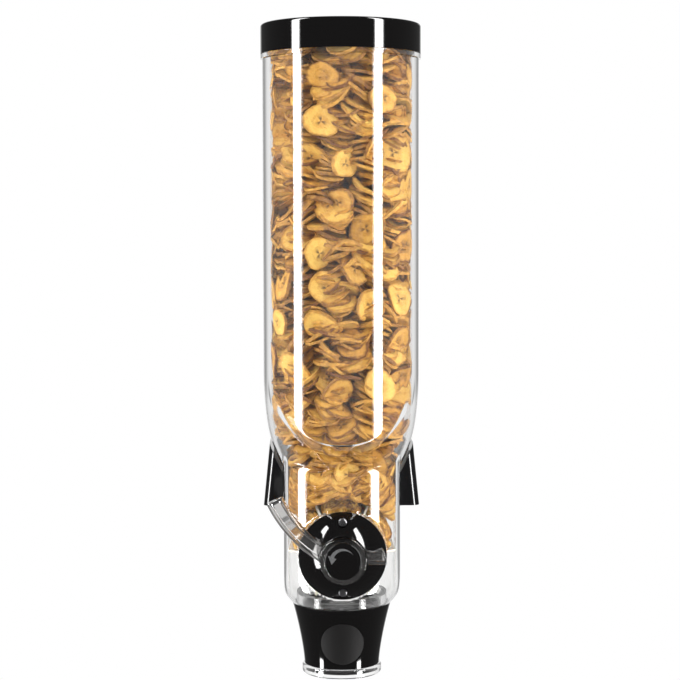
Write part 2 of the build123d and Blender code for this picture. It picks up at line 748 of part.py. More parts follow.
def wall_bracket():
    """The bracket: a back plate, and two hollow arms that the hopper's shoulder rests on."""
    plate_y = wall_y - bracket_plate_thickness
    tongue_height = bracket_top_z - bracket_bottom_z
    tongue = Pos(0, (bracket_bottom_z + bracket_top_z) / 2) * RectangleRounded(
        2 * bracket_tongue_half_width, tongue_height, bracket_corner_round)
    base_height = arm_shoulder_z - bracket_bottom_z
    base = Pos(0, (bracket_bottom_z + arm_shoulder_z) / 2) * Rectangle(
        2 * (neck_half_width + neck_side_gap + arm_wall), base_height)
    plate = xz_prism(tongue + base, plate_y, wall_y)
    seat = shoulder_shadow(pad_thickness + pad_seat_gap, arm_front_y - 1, wall_y + 1)
    roof = shoulder_shadow(pad_thickness + pad_seat_gap + arm_wall, arm_front_y - 1, wall_y + 1)
    arm = arm_blank(0) - seat
    arm -= (arm_blank(arm_wall) - roof) - block(0, far, -far, far, arm_top_z - arm_wall, far)
    bracket = plate + arm + mirror(arm, about=Plane.YZ)
    bracket -= guide_ribs(groove_gap)
    for x in (-wall_hole_half_x, wall_hole_half_x):
        for z in (mount_z - wall_hole_half_z, mount_z + wall_hole_half_z):
            bracket -= y_rod(wall_hole_radius, plate_y - 1, wall_y + 1, x=x, z=z)
    return bracket


def bracket_pads():
    """The two soft pads between the arms' tops and the hopper's shoulder."""
    inner = neck_half_width + neck_side_gap
    slab = shoulder_shadow(pad_thickness + pad_seat_gap, -pad_half_length, pad_half_length)
    slab &= block(inner, arm_high_half_width - arm_wall, -far, far, bracket_bottom_z, arm_top_z)
    pad = slab - shoulder(pad_seat_gap)
    return Compound([pad, mirror(pad, about=Plane.YZ)])


whole = hopper()
halves = {
    "hopper_front_shell": whole & block(-far, far, -far, 0, -far, 2 * far),
    "hopper_rear_shell": whole & block(-far, far, 0, far, -far, 2 * far),
}
nodes = {
    **halves,
    "lid_cap": lid_cap(),
    "lid_seal": lid_seal(),
    "outlet_collar": outlet_collar(),
    "spout_seal": spout_seal(),
    "nose_cover": nose_cover(),
    "nose_gasket": nose_gasket(),
    "cover_screws": cover_screws(),
    "front_bush": front_bush(),
    "rear_bush": rear_bush(),
    "drive_shaft": drive_shaft(),
    "shaft_clip": shaft_clip(),
    "wheel_hub": wheel_hub(),
    "wheel_vanes": wheel_vanes(),
    "lever": lever(),
    "lever_screw": lever_screw(),
    "arrow_cap": arrow_cap(),
    "arrow_mark": arrow_mark(),
    "spout": spout(),
    "spout_badge": spout_badge(),
    "outlet_ring": outlet_ring(),
    "wall_bracket": wall_bracket(),
    "bracket_pads": bracket_pads(),
}

os.makedirs("parts", exist_ok=True)
to_wall_face = Pos(0, -wall_y, -mount_z)
for name, shape in nodes.items():
    export_step(to_wall_face * shape, os.path.join("parts", name + ".step"))
    print(name, round(shape.volume))
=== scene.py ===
# %% [markdown]
# # A clear bulk food dispenser with a lever-turned portion wheel
# The real object is a tall clear hopper with a black lid, hung in a black wall bracket. A lever on its nose turns a
# wheel inside the neck, and a black spout is locked on under it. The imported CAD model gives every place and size, so
# this lesson loads it first and then adds the finishes, the rounded clear walls and the dried fruit slices.

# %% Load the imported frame
import bpy
import math
import numpy as np
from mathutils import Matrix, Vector


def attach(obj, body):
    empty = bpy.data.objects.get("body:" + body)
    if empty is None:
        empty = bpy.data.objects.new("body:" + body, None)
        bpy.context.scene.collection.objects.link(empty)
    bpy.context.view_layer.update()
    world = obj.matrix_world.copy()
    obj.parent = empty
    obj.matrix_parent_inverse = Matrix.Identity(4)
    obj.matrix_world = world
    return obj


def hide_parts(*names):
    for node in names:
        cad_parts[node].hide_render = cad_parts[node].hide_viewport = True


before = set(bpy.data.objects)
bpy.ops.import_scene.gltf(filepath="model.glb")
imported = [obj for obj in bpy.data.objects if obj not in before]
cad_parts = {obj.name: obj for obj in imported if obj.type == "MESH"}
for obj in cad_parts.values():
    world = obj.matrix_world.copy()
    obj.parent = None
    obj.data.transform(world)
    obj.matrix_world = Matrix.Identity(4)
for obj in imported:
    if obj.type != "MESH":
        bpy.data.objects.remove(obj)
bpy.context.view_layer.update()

# %% [markdown]
# ## Millimetres from the hopper's own axis
# A maker measures this object from the middle of its tube and from the lower end of its outlet, in millimetres. All
# shapes below are written that way, and one small function carries them to the frame, whose origin is on the wall.

# %% Carry points to the frame
hopper_origin = np.array([0.0, -88.0, -219.5])
millimetre = 0.001


def to_frame(points):
    """Points in millimetres from the hopper's axis and the outlet's lower end, moved to the wall's origin in metres."""
    return (np.asarray(points, float) + hopper_origin) * millimetre


print("the hopper's axis stands at", to_frame([0, 0, 0]).round(4))

# %% [markdown]
# ## The camera
# The photograph was taken from far away with a long lens, from a little above the hopper's middle and a little to its
# left. A 95 mm lens at 1.8 m gives the same narrow perspective. Its place and tilt were found by moving it until the
# curves of the lid, the hopper's flange and the spout fell where they are in the photograph.

# %% Camera
def object_with(name, data):
    """A new object with its data, linked to the scene."""
    made = bpy.data.objects.new(name, data)
    bpy.context.scene.collection.objects.link(made)
    return made


photo_camera = object_with("photo_camera", bpy.data.cameras.new("photo_camera"))
photo_camera.data.sensor_width = 36.0
photo_camera.data.lens = 95.29
photo_camera.location = (-0.028, -1.825, 0.215)
photo_camera.rotation_euler = (math.radians(90 - 3.655), math.radians(0.12), math.radians(-0.895))
photo_camera.data.clip_end = 50.0
bpy.context.scene.camera = photo_camera
bpy.context.scene.view_settings.view_transform = "Standard"
print("camera at", tuple(round(v, 3) for v in photo_camera.location))

# %% [markdown]
# ## Light for clear and glossy plastic
# Gloss is only seen by what it reflects. Two tall narrow soft lamps, left and right of the camera, draw the long
# white stripes down the tube. Each is a pair: a plain lamp that lights everything, and a brighter and narrower one
# that only reflections see, so that the stripes are white while the fruit keeps its colour. The brighter one stands
# 3 cm nearer, because two lamps in one plane hide each other in a reflection.

# %% Tall soft lamps
lamp_distance, lamp_height = 1.5, 3.2
lamp_aim = Vector((0.0, -0.088, 0.7))
soft_radiance, stripe_radiance = 6.2, 24.0
stripe_share, stripe_nearer = 0.80, 0.03


def strip_lamp(name, side_degrees, width, radiance, distance, only_reflections):
    """A tall lamp that faces the hopper; side_degrees is counted from the camera's side, to the right."""
    data = bpy.data.lights.new(name, "AREA")
    data.shape = "RECTANGLE"
    data.size, data.size_y = width, lamp_height
    data.energy = radiance * math.pi * width * lamp_height
    lamp = object_with(name, data)
    angle = math.radians(side_degrees)
    lamp.location = lamp_aim + distance * Vector((math.sin(angle), -math.cos(angle), 0))
    lamp.rotation_euler = (lamp_aim - lamp.location).to_track_quat("-Z", "Y").to_euler()
    lamp.visible_camera = False
    if only_reflections:
        lamp.visible_diffuse = False
        lamp.visible_transmission = False


for side, degrees, width in (("left", -66.0, 0.38), ("right", 54.0, 0.40)):
    strip_lamp(f"soft_lamp_{side}", degrees, width, soft_radiance, lamp_distance, False)
    strip_lamp(f"stripe_lamp_{side}", degrees, width * stripe_share, stripe_radiance,
               lamp_distance - stripe_nearer, True)
print("lamps in two pairs:", len(bpy.data.lights))

# %% [markdown]
# ## Short words for shader nodes
# A material or a world is a tree of nodes. Written out in full, every node takes four or five lines, so a few small
# helpers make one node or one sum each and hand back what the next one reads.

# %% Node helpers
def feed(tree, socket, value):
    """Links an input to the socket that feeds it, or sets it to a plain value."""
    if isinstance(value, bpy.types.NodeSocket):
        tree.links.new(value, socket)
    else:
        socket.default_value = value


def put(tree, kind, **sockets):
    """One node in a tree, with the plain values of its inputs or the sockets that feed them; i0 is input number 0."""
    node = tree.nodes.new(kind)
    for name, value in sockets.items():
        if hasattr(node, name):
            setattr(node, name, value)
        else:
            key = int(name[1:]) if name[1:].isdigit() else name.replace("_", " ")
            feed(tree, node.inputs[key], value)
    return node


def work(tree, operation, *values, clamp=False):
    """One Math node: the operation on its values, as a socket."""
    node = tree.nodes.new("ShaderNodeMath")
    node.operation = operation
    node.use_clamp = clamp
    for socket, value in zip(node.inputs, values):
        feed(tree, socket, value)
    return node.outputs[0]


def times(tree, a, b, clamp=False):
    """The product of two values."""
    return work(tree, "MULTIPLY", a, b, clamp=clamp)


def plus(tree, a, b, clamp=False):
    """The sum of two values."""
    return work(tree, "ADD", a, b, clamp=clamp)


def ramp(tree, value, low, high, to_low=0.0, to_high=1.0):
    """A smooth step: to_low where the value is low or less, to_high where it is high or more."""
    node = put(tree, "ShaderNodeMapRange", interpolation_type="SMOOTHSTEP", Value=value, From_Min=low, From_Max=high,
               To_Min=to_low, To_Max=to_high)
    return node.outputs["Result"]


def choose(tree, test, yes, no):
    """One of two values: yes where the test is 1, no where it is 0."""
    return plus(tree, times(tree, test, yes), times(tree, work(tree, "SUBTRACT", 1.0, test), no))


print("helpers:", [helper.__name__ for helper in (feed, put, work, times, plus, ramp, choose)])

# %% [markdown]
# ## A studio that is white behind and dim around
# Clear plastic on a white ground shows its edges because they bend the view away to something darker. So the world is
# white to the camera and, for what is seen through the plastic, white straight ahead, behind and to the sides, with
# a darker zone on the diagonals. Reflections find white only straight behind the object, and all else is dim grey.

# %% World
world = bpy.data.worlds.new("studio")
bpy.context.scene.world = world
world.use_nodes = True
studio = world.node_tree
studio.nodes.clear()
ambient = 0.24
through_ramp, mirrored_ramp = (0.80, 0.90, 0.40, 1.0), (0.90, 0.99, 0.10, 0.9)
path = studio.nodes.new("ShaderNodeLightPath")
look = put(studio, "ShaderNodeSeparateXYZ", Vector=studio.nodes.new("ShaderNodeTexCoord").outputs["Generated"])
z_squared = times(studio, look.outputs["Z"], look.outputs["Z"])
level = work(studio, "MAXIMUM", work(studio, "SQRT", work(studio, "SUBTRACT", 1.0, z_squared)), 0.001)
across = work(studio, "DIVIDE", work(studio, "ABSOLUTE", look.outputs["X"]), level)
along = work(studio, "DIVIDE", work(studio, "ABSOLUTE", look.outputs["Y"]), level)
behind = work(studio, "DIVIDE", look.outputs["Y"], level)
through = ramp(studio, work(studio, "MAXIMUM", across, along), *through_ramp)
mirrored = ramp(studio, behind, *mirrored_ramp)
seen = choose(studio, path.outputs["Is Glossy Ray"], mirrored, ambient)
seen = choose(studio, work(studio, "GREATER_THAN", path.outputs["Transmission Depth"], 0.5), through, seen)
seen = choose(studio, work(studio, "GREATER_THAN", path.outputs["Diffuse Depth"], 0.5), ambient, seen)
strength = work(studio, "MAXIMUM", path.outputs["Is Camera Ray"], seen)
sky = put(studio, "ShaderNodeBackground", Color=(1, 1, 1, 1), Strength=strength)
put(studio, "ShaderNodeOutputWorld", Surface=sky.outputs[0])
print("world nodes", len(studio.nodes))

# %% [markdown]
# ## Nets of points become surfaces
# Every new shape below is a net of points worked out by numpy as whole arrays. One function joins the neighbours of
# a net with four-sided faces, and another makes the finished object from points and faces and hangs it on its body.

# %% Surface helpers
def piece(name, points, faces, body, sharp_degrees=None):
    """A finished object from points in hopper millimetres and a list of arrays of faces, riding on a body."""
    mesh = bpy.data.meshes.new(name)
    corners = np.concatenate([block.ravel() for block in faces])
    totals = np.concatenate([np.full(len(block), block.shape[1]) for block in faces])
    starts = np.concatenate([[0], np.cumsum(totals)[:-1]])
    mesh.vertices.add(len(points))
    mesh.vertices.foreach_set("co", to_frame(points).ravel())
    mesh.loops.add(len(corners))
    mesh.loops.foreach_set("vertex_index", corners)
    mesh.polygons.add(len(totals))
    mesh.polygons.foreach_set("loop_start", starts)
    mesh.update(calc_edges=True)
    mesh.polygons.foreach_set("use_smooth", np.ones(len(totals), bool))
    mesh.validate()
    if sharp_degrees:
        mesh.set_sharp_from_angle(angle=math.radians(sharp_degrees))
    made = object_with(name, mesh)
    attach(made, body)
    print(name, len(mesh.vertices), "points", len(mesh.polygons), "faces")
    return made


def net_faces(rows, columns, offset=0, wrap_rows=False, wrap_columns=False, flip=False):
    """Faces that join neighbours of a net of points stored row after row."""
    i = np.arange(rows if wrap_rows else rows - 1)[:, None]
    j = np.arange(columns if wrap_columns else columns - 1)[None, :]
    a = i * columns + j
    b = ((i + 1) % rows) * columns + j
    c = ((i + 1) % rows) * columns + (j + 1) % columns
    d = i * columns + (j + 1) % columns
    quads = np.stack([a, b, c, d] if not flip else [a, d, c, b], -1).reshape(-1, 4)
    return quads + offset


print("a net of 3 by 4 points has", len(net_faces(3, 4)), "faces")

# %% [markdown]
# ## A node group for moulded and handled surfaces
# No moulded part is perfectly even. One group gives every plastic its own fine variation: a roughness that wanders
# between two values, and a height for a faint waviness, both read from the object's own coordinates.

# %% Fine variation group
fine = bpy.data.node_groups.new("fine_variation", "ShaderNodeTree")
for label, default in (("Scale", 60.0), ("Low", 0.05), ("High", 0.15)):
    fine.interface.new_socket(label, in_out="INPUT", socket_type="NodeSocketFloat").default_value = default
for label in ("Roughness", "Height"):
    fine.interface.new_socket(label, in_out="OUTPUT", socket_type="NodeSocketFloat")
group_in, group_out = fine.nodes.new("NodeGroupInput"), fine.nodes.new("NodeGroupOutput")
place = fine.nodes.new("ShaderNodeTexCoord").outputs["Object"]
broad = put(fine, "ShaderNodeTexNoise", Vector=place, Scale=group_in.outputs["Scale"], Detail=3.0)
grit = put(fine, "ShaderNodeTexNoise", Vector=place, Detail=2.0, Scale=times(fine, group_in.outputs["Scale"], 14.0))
mixed = plus(fine, times(fine, broad.outputs[0], 0.6), times(fine, grit.outputs[0], 0.4))
spread = times(fine, mixed, work(fine, "SUBTRACT", group_in.outputs["High"], group_in.outputs["Low"]))
fine.links.new(plus(fine, group_in.outputs["Low"], spread), group_out.inputs[0])
fine.links.new(mixed, group_out.inputs[1])


def finish_for(name, colour, low, high, scale=60.0, bump=0.0, **sockets):
    """A material with a Principled shader, the fine variation on its roughness, and values for its other sockets."""
    material = bpy.data.materials.new(name)
    material.use_nodes = True
    tree = material.node_tree
    shader = tree.nodes["Principled BSDF"]
    shader.inputs["Base Color"].default_value = (*colour, 1.0)
    for socket, value in sockets.items():
        shader.inputs[socket.replace("_", " ")].default_value = value
    vary = put(tree, "ShaderNodeGroup", node_tree=fine, Scale=scale, Low=low, High=high)
    tree.links.new(vary.outputs["Roughness"], shader.inputs["Roughness"])
    if bump:
        wave = put(tree, "ShaderNodeBump", Height=vary.outputs["Height"], Strength=bump, Distance=0.001)
        tree.links.new(wave.outputs["Normal"], shader.inputs["Normal"])
    return material, tree, shader


print("group sockets", [s.name for s in fine.interface.items_tree])

# %% [markdown]
# ## The solid finishes
# Black gloss is a nearly black plastic with a hard clear reflection. The bracket is the same plastic with a softer
# gloss, and the badge is matt. What is inside the neck shows through the wall: white acetal, pale silicone vanes, grey
# rubber and zinc-plated steel. One table holds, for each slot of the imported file, the finish's name and colour, its
# least and greatest roughness, the scale and strength of its fine variation, and what else it needs.

# %% Opaque finishes
finish_of_slot = {}
for slot, name, colour, low, high, scale, bump, more in (
        ("black_gloss", "black_gloss", (0.006, 0.0055, 0.0055), 0.03, 0.07, 90, 0.004, {"IOR": 1.5}),
        ("black_plastic", "bracket_black", (0.008, 0.008, 0.009), 0.09, 0.16, 110, 0.02, {"IOR": 1.5}),
        ("badge_grey", "badge_matt", (0.007, 0.006, 0.006), 0.5, 0.65, 260, 0.08, {"IOR": 1.3}),
        ("white_plastic", "acetal_white", (0.76, 0.76, 0.73), 0.32, 0.45, 80, 0.05, {"Subsurface_Weight": 0.05}),
        ("pale_silicone", "silicone_pale", (0.66, 0.62, 0.54), 0.45, 0.6, 70, 0.08, {"Subsurface_Weight": 0.08}),
        ("grey_rubber", "rubber_grey", (0.16, 0.16, 0.16), 0.55, 0.75, 200, 0.15, {}),
        ("steel", "zinc_steel", (0.26, 0.26, 0.27), 0.22, 0.36, 150, 0.04, {"Metallic": 1.0}),
        ("silver_print", "silver_inlay", (0.80, 0.81, 0.82), 0.22, 0.34, 220, 0.03, {"Metallic": 1.0})):
    finish_of_slot[slot] = finish_for(name, colour, low, high, scale=scale, bump=bump, **more)[0]
print("opaque finishes", len(finish_of_slot))

# %% [markdown]
# ## The clear finishes
# Polycarbonate bends light strongly (IOR 1.58). Lamp light has to reach the fruit behind it, so shadow rays go
# straight through the wall. The renderer also gives up a ray that is turned back inside a wall more than once or
# twice, which would leave black edges on a tube. Where such a ray meets the wall at a slant it is let through as well,
# and the edges stay as pale as in the photograph.

# %% Clear finishes
def clear_finish(name, colour, ior, waviness=0.003, shade=0.92):
    """A clear plastic that bends what is behind it, with a faint moulded waviness, open to shadow rays."""
    material, tree, shader = finish_for(name, colour, 0.0, 0.02, scale=28, bump=waviness, IOR=ior,
                                        Transmission_Weight=1.0)
    for link in list(shader.inputs["Roughness"].links):
        tree.links.remove(link)
    shader.inputs["Roughness"].default_value = 0.0
    open_way = put(tree, "ShaderNodeBsdfTransparent", Color=(shade, shade, shade, 1))
    rays = tree.nodes.new("ShaderNodeLightPath")
    turned_back = work(tree, "MINIMUM", rays.outputs["Glossy Depth"], rays.outputs["Transmission Depth"])
    slanting = work(tree, "GREATER_THAN", tree.nodes.new("ShaderNodeLayerWeight").outputs["Facing"], 0.12)
    turned_back = times(tree, work(tree, "GREATER_THAN", turned_back, 0.5), slanting)
    let_through = work(tree, "MAXIMUM", rays.outputs["Is Shadow Ray"], turned_back)
    blend = put(tree, "ShaderNodeMixShader", i0=let_through, i1=shader.outputs[0], i2=open_way.outputs[0])
    tree.links.new(blend.outputs[0], tree.nodes["Material Output"].inputs["Surface"])
    return material


clear_plastic = clear_finish("clear_plastic", (0.985, 0.985, 0.98), 1.58)
smoky_plastic = clear_finish("smoky_plastic", (0.56, 0.55, 0.54), 1.55, waviness=0.02, shade=0.6)
finish_of_slot.update(clear_plastic=clear_plastic, smoky_plastic=smoky_plastic)
print("finishes for", len(finish_of_slot), "slots")

# %% [markdown]
# ## Finishes on the CAD pieces
# A CAD piece whose shape is already right keeps its mesh and only gets the finish of its slot. The slot names in the
# packed file lead each piece to the finish made above.

# %% Dress the CAD pieces
for node_name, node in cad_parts.items():
    finish = finish_of_slot[node.data.materials[0].name.split(".")[0]]
    for place_in_list in range(len(node.data.materials)):
        node.data.materials[place_in_list] = finish
    print(node_name, "->", finish.name)

# %% [markdown]
# ## The hopper's walls
# The hopper is blended from four simple bodies: a tube that narrows in a shoulder, a round-ended bulge on its front,
# a flat-sided neck and a round nose boss. Seen from the axis every one of them is a single distance in each
# direction at each height. The wall is the largest of those distances, taken with a soft maximum, which leaves the
# small rounded edges that moulded plastic has and that catch the light as thin lines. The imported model's walls have
# sharp edges, and all the sizes here are its own.

# %% Soft maximum and minimum
def soft_max(a, b, size):
    """The larger of two distances, with a rounded inner corner: where they differ by less than size, a little more."""
    return np.maximum(a, b) + np.maximum(size - np.abs(a - b), 0) ** 2 / (4 * size)


def soft_min(a, b, size):
    """The smaller of two distances, with a rounded edge: the soft maximum turned over."""
    return -soft_max(-a, -b, size)


print("soft maximum of 2 and 2 over 0.4:", soft_max(2.0, 2.0, 0.4))

# %% [markdown]
# ## The four bodies as distances
# The shoulder is two arcs that meet smoothly. The bulge is a half-round end cut off by a bevel. The bevel has no short
# formula along a ray, so thirty halvings of the interval find where the ray leaves it, for all rays at once. The neck
# has two flat sides and two faces of large radius, and an arc through three points draws it in to its mouth. Each
# formula takes an inset, because the inner wall is the same shape drawn in by the wall's thickness.

# %% Sizes of the hopper
tube_radius, wall_thickness, tiny = 75.0, 4.0, 1e-4
shoulder_top_z, upper_arc, lower_arc, upper_arc_degrees = 293.5, 350.0, 134.0, 7.6
bulge_end_z, bulge_half_width = 282.5, 71.5
bevel_half_width, bevel_slope, bevel_drop, side_flat = 45.2, 0.481, 54.0, 73.24
neck_half_width, neck_face_radius, neck_face_shift = 55.7, 70.0, 13.0
neck_top_z, bowl_top_z = 228.0, 115.0
nose_axis_z, nose_radius, nose_face_y = 123.8, 42.2, 58.0
flange_low_z, flange_high_z, flange_radius, rim_radius = 592.75, 597.15, 76.8, 73.8
print("the neck is", 2 * neck_half_width, "mm wide under a tube of", 2 * tube_radius)


# %% Distances from the axis
def shoulder_distance(z, offset):
    """The tube's radius above its shoulder, then two arcs that bend in towards the neck, all set out by offset."""
    first, second = upper_arc + offset, lower_arc + offset
    lean = math.radians(upper_arc_degrees)
    centre = tube_radius - upper_arc
    knee_z, knee_r = shoulder_top_z - first * math.sin(lean), centre + first * math.cos(lean)
    low_r, low_z = knee_r - second * math.cos(lean), knee_z + second * math.sin(lean)
    high = centre + np.sqrt(np.maximum(first ** 2 - np.minimum(z - shoulder_top_z, 0) ** 2, 0))
    low = low_r + np.sqrt(np.maximum(second ** 2 - (low_z - z) ** 2, 0))
    return np.where(z >= knee_z, high, low)


def bulge_distance(c, s, z, inset, side_skin, foot_skin):
    """The front bulge along a ray (c, s): within its radius, its round end, and a bevel that widens with depth."""
    drop = np.maximum(bulge_end_z - z, 0)
    near, far = np.zeros(np.broadcast(c, z).shape), np.full(np.broadcast(c, z).shape, 90.0)
    for _ in range(30):
        middle = (near + far) / 2
        depth = middle * s + tube_radius
        half, foot = bevel_half_width - side_skin + bevel_slope * depth, bevel_drop - foot_skin + depth
        inside = (middle * c / half) ** 2 + (drop / foot) ** 2 < 1
        near, far = np.where(inside, middle, near), np.where(inside, far, middle)
    width = bulge_half_width - inset
    end = np.sqrt(np.maximum(width ** 2 - drop ** 2, 0)) / np.maximum(np.abs(c), tiny)
    reach = soft_min(soft_min(near, end, 0.2), tube_radius - inset + 0 * near, 0.2)
    return np.where((s < 0) & (drop < width), reach, 0.0)


def arc_through(p1, p2, p3):
    """The centre and radius of the circle through three points, from the meeting of two perpendicular bisectors."""
    (x1, y1), (x2, y2), (x3, y3) = p1, p2, p3
    d = 2 * (x1 * (y2 - y3) + x2 * (y3 - y1) + x3 * (y1 - y2))
    s1, s2, s3 = x1 * x1 + y1 * y1, x2 * x2 + y2 * y2, x3 * x3 + y3 * y3
    cx = (s1 * (y2 - y3) + s2 * (y3 - y1) + s3 * (y1 - y2)) / d
    cy = (s1 * (x3 - x2) + s2 * (x1 - x3) + s3 * (x2 - x1)) / d
    return cx, cy, math.hypot(x1 - cx, y1 - cy)


def neck_distance(c, s, z, inset):
    """The neck: two flat sides and two faces of large radius, drawn in to a round mouth by one arc."""
    side = (neck_half_width - inset) / np.maximum(np.abs(c), tiny)
    face = -neck_face_shift * np.abs(s) + np.sqrt((neck_face_shift * s) ** 2 + (neck_face_radius - inset) ** 2
                                                  - neck_face_shift ** 2)
    corner_y = math.sqrt(neck_face_radius ** 2 - neck_half_width ** 2) - neck_face_shift
    corner = math.hypot(neck_half_width, corner_y) + 1.0
    cx, cy, arc = arc_through((48.0, 69.0), (57.5, 82.0), (corner, bowl_top_z))
    bowl = cx + np.sqrt(np.maximum(arc ** 2 - (z - cy) ** 2, 1.0)) - inset
    reach = soft_min(soft_min(side, face, 3.0), np.where(z < bowl_top_z, bowl, 90.0), 3.0)
    return np.where(z < neck_top_z, reach, 0.0)


def nose_distance(c, s, z, radius, face_y):
    """A round boss along y on the front: as far as its flat face, and no wider than its circle at that height."""
    half = np.sqrt(np.maximum(radius ** 2 - (z - nose_axis_z) ** 2, 0))
    reach = soft_min(face_y / np.maximum(-s, 1e-3), half / np.maximum(np.abs(c), tiny), 1.2)
    return np.where(s < 0, reach, 0.0)


print("the shoulder at 240 mm is", round(float(shoulder_distance(240.0, 0.0)), 2), "mm from the axis")

# %% [markdown]
# ## One distance for the whole wall
# On the outside, the tube is also cut by a flat on each side of the front, where the bulge's bevel carries on above
# its round end. The lid's seat is a flange with a narrower rim over it.

# %% The hopper's distance
def hopper_distance(angle, z, inner):
    """How far the hopper's wall, its outside or its inside, stands from its axis at an angle from +x and a height."""
    c, s = np.cos(angle), np.sin(angle)
    inset = wall_thickness if inner else 0.0
    tube = shoulder_distance(z, -inset) + 0 * c
    neck, nose = neck_distance(c, s, z, inset), nose_distance(c, s, z, nose_radius - inset, nose_face_y - inset)
    if inner:
        wall = soft_max(tube, bulge_distance(c, s, z, inset, 2.2, inset * math.sqrt(2)), 0.3)
        return soft_max(soft_max(wall, neck, 1.6), nose, 0.8)
    flats = side_flat / np.maximum((np.abs(c) - bevel_slope * s) / math.hypot(1, bevel_slope), 1e-3)
    body = np.where(s < 0, soft_min(tube, flats, 0.8), tube)
    wall = soft_max(body, bulge_distance(c, s, z, 0.0, 0.0, 0.0), 0.25)
    wall = soft_max(soft_max(wall, neck, 1.6), nose, 0.8)
    wall = np.where((z > flange_low_z) & (z < flange_high_z), flange_radius, wall)
    rounded_edge = (z > flange_low_z - 0.1) & (z <= flange_low_z) | (z >= flange_high_z) & (z < flange_high_z + 0.1)
    wall = np.where(rounded_edge, flange_radius - 0.6, wall)
    return np.where(z >= flange_high_z + 0.1, rim_radius, wall)


in_front, half_way = np.array(-np.pi / 2), np.array(400.0)
for inner in (True, False):
    print("wall half-way up in front:", hopper_distance(in_front, half_way, inner).round(2))

# %% [markdown]
# ## The hopper as one net
# The rows of the net are 300 directions round the axis and its columns are heights, close together where the shape
# turns and far apart on the plain tube. The outside and the inside are closed by a ring at the bottom and one at the
# top, so the wall is one solid of clear plastic. It stands for both shells, because the photograph shows no seam.

# %% The clear hopper
heights = np.concatenate([
    np.linspace(69, 118, 30), np.linspace(120, 205, 44), np.linspace(206, 240, 44), np.linspace(242, 293.5, 26),
    np.linspace(310, 588, 6),
    [592.5, 592.7, 592.8, 593.2, 595, 596.7, 597.1, 597.2, 597.3, 597.7, 606, 614, 619.4, 619.8, 620.0],
])
rim_round = np.zeros_like(heights)
rim_round[-3:] = [0.05, 0.35, 0.9]


def shell_net(inner, steps=300):
    """The wall's outside or inside as a net: x = r cos a, y = r sin a, with r from the angle a and the height."""
    angle = np.linspace(0, 2 * np.pi, steps, endpoint=False)[:, None]
    z = heights[None, :]
    r = hopper_distance(angle, z, inner) + (rim_round if inner else -rim_round)
    return np.stack([r * np.cos(angle), r * np.sin(angle), z + 0 * angle], -1)


outer, inner = shell_net(False), shell_net(True)
rows, columns = outer.shape[:2]
index = np.arange(rows * columns).reshape(rows, columns)
faces = [net_faces(rows, columns, wrap_rows=True), net_faces(rows, columns, rows * columns, wrap_rows=True, flip=True)]
for edge, turned_over in ((index[:, 0], False), (index[:, -1], True)):
    after = np.roll(edge, -1)
    ring = np.stack([edge, after, after + rows * columns, edge + rows * columns], -1)
    faces.append(ring[:, ::-1] if turned_over else ring)
clear_hopper = piece("clear_hopper", np.concatenate([outer.reshape(-1, 3), inner.reshape(-1, 3)]), faces, "hopper",
                     sharp_degrees=50)
clear_hopper.data.materials.append(clear_plastic)
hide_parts("hopper_front_shell", "hopper_rear_shell")

# %% [markdown]
# ## The lever
# The lever is one clear smoky moulding: a hub, a curved arm and a short tail, with a channel along the arm and tail.
# What shows it in the photograph are its rounded ridges, which draw bright lines. So the arm and the tail are one
# channel profile, with its edges already round, carried along a curve, and the hub is a turned ring.

# %% Channel profile
lever_back, lever_depth, hub_reach = -80.4, 9.0, 22.2
thin_floor, raised_floor = 3.0, 5.8


def channel(half, rise, shrink, ridge=4.2):
    """Closed profiles across a channel, sideways and forwards: rise lifts its floor, and shrink narrows it."""
    inset = np.array([0.9, 0.26, 0, 0, 0.35, 1.3, ridge - 1.3, ridge - 0.35, ridge, ridge, ridge + 0.3, ridge + 1.0])
    top = lever_depth
    front = np.array([0.0, 0.26, 0.9, top - 1.3, top - 0.35, top, top, top - 0.35, top - 1.3])
    low = (thin_floor + rise * raised_floor)[:, None]
    front = np.concatenate([front * np.ones((len(half), 1)), low + 1.0, low + 0.3, low], 1)
    front = np.concatenate([front, front[:, ::-1]], 1)
    side = np.maximum((half - shrink)[:, None] - inset, 0.05)
    return np.concatenate([side, -side[:, ::-1]], 1), np.clip(front, shrink[:, None], top - shrink[:, None])


def swept(rings, offset=0):
    """Rings of points joined one after the other, with both ends closed by one face each."""
    count, around = rings.shape[:2]
    cap = np.arange(around)[None] + offset
    sides = net_faces(count, around, offset, wrap_columns=True)
    return rings.reshape(-1, 3), [sides, cap[:, ::-1], cap + (count - 1) * around]


def outwards(points, blocks):
    """The faces of a closed shape, turned over if its volume, the sum of a.(b x c)/6 of its triangles, is negative."""
    volume = 0.0
    for block in blocks:
        a, b, c = points[block[:, :1]], points[block[:, 1:-1]], points[block[:, 2:]]
        volume += (a * np.cross(b, c)).sum() / 6
    return blocks if volume > 0 else [block[:, ::-1] for block in blocks]


print("points across the channel", channel(np.array([8.1]), np.zeros(1), np.zeros(1))[0].shape[1])

# %% [markdown]
# ## The lever's arm
# The arm's middle line is an arc through its tip and its root. Every profile of it is turned to stand across that
# arc. At the root each line of the profile stops just inside the hub's circle, where two circles cross: the line's own
# and the hub's. Near the tip the channel's floor rises and the last profiles shrink, which closes and rounds the end.

